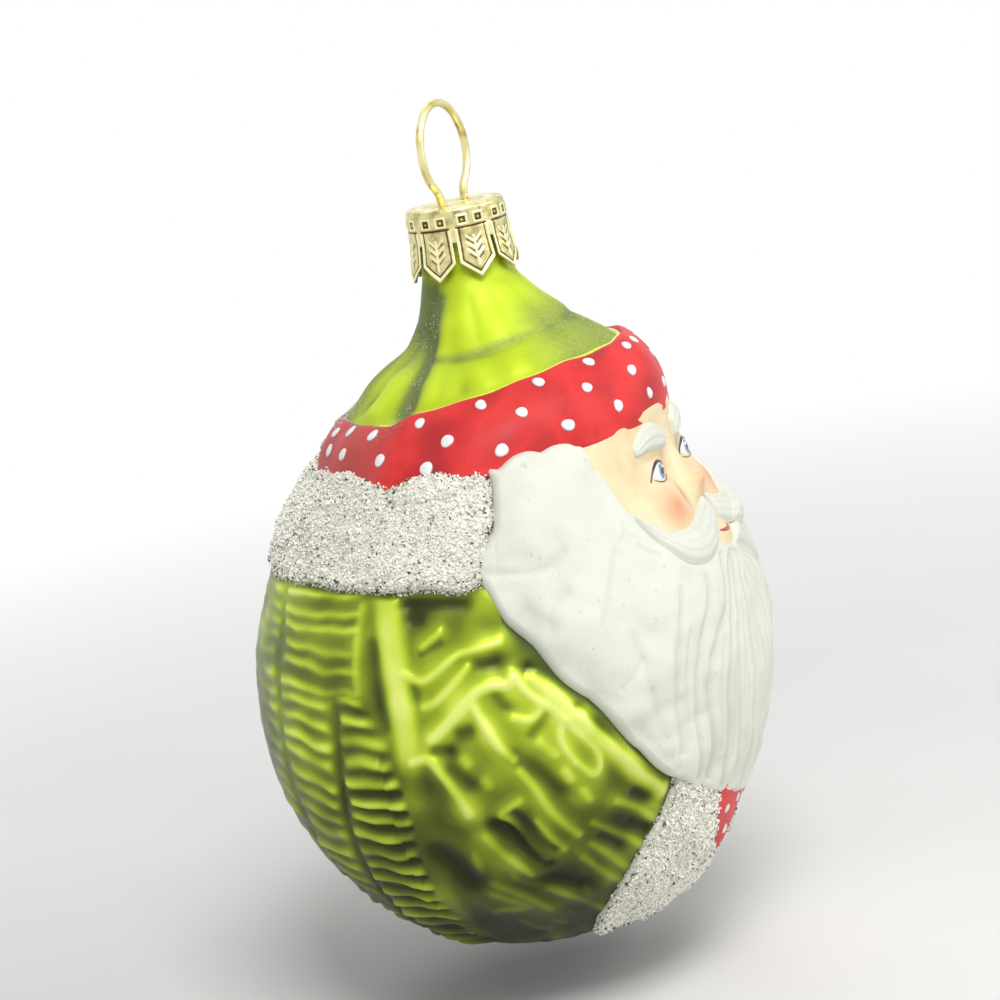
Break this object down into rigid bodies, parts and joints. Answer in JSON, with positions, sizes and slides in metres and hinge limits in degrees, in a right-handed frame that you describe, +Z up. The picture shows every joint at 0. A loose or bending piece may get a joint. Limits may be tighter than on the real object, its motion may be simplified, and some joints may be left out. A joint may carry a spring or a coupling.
{
  "type": "figural glass christmas ornament",
  "caption": "Hollow blown-glass hanging ornament shaped as a bearded Father Christmas, with glitter and enamel coats, a stamped crown cap and a wire hanger.",
  "frame": {"origin": "the hanging point, where a hook or twig bears inside the top of the wire loop", "axes": "+Z up along the neck, +Y out of the back of the head, +X toward the figure's left side; the face looks toward -Y"},
  "size_m": [0.0744, 0.0737, 0.1185],
  "materials": {
    "green_lacquered_glass": "satin metallic lacquer over silvered glass",
    "red_enamel": "gloss lacquer with raised white dots",
    "crushed_glass_glitter": "coarse crushed-glass glitter",
    "flesh_enamel": "satin enamel with rosy cheeks",
    "white_enamel": "thick matt enamel",
    "gold_metal": "bright stamped sheet",
    "gold_wire": "drawn wire"
  },
  "bodies": {
    "glass": {"glass_body": "green_lacquered_glass", "hat_band_enamel": "red_enamel", "glitter_collar": "crushed_glass_glitter", "face_enamel": "flesh_enamel", "beard_enamel": "white_enamel", "front_panel_enamel": "red_enamel", "glitter_trim_right": "crushed_glass_glitter", "glitter_trim_left": "crushed_glass_glitter", "moustache_right_enamel": "white_enamel", "moustache_left_enamel": "white_enamel", "brow_right_enamel": "white_enamel", "brow_left_enamel": "white_enamel"},
    "cap": {"crown_cap": "gold_metal"},
    "hanger": {"hanger_wire": "gold_wire"}
  },
  "joints": [
    {"name": "cap_turn", "type": "hinge", "parent": "glass", "child": "cap", "pos_m": [0, 0, -0.0131], "axis": [0, 0, 1], "continuous": true},
    {"name": "hanger_lift", "type": "slide", "parent": "cap", "child": "hanger", "axis": [0, 0, 1], "range_m": [0, 0.0035]}
  ]
}
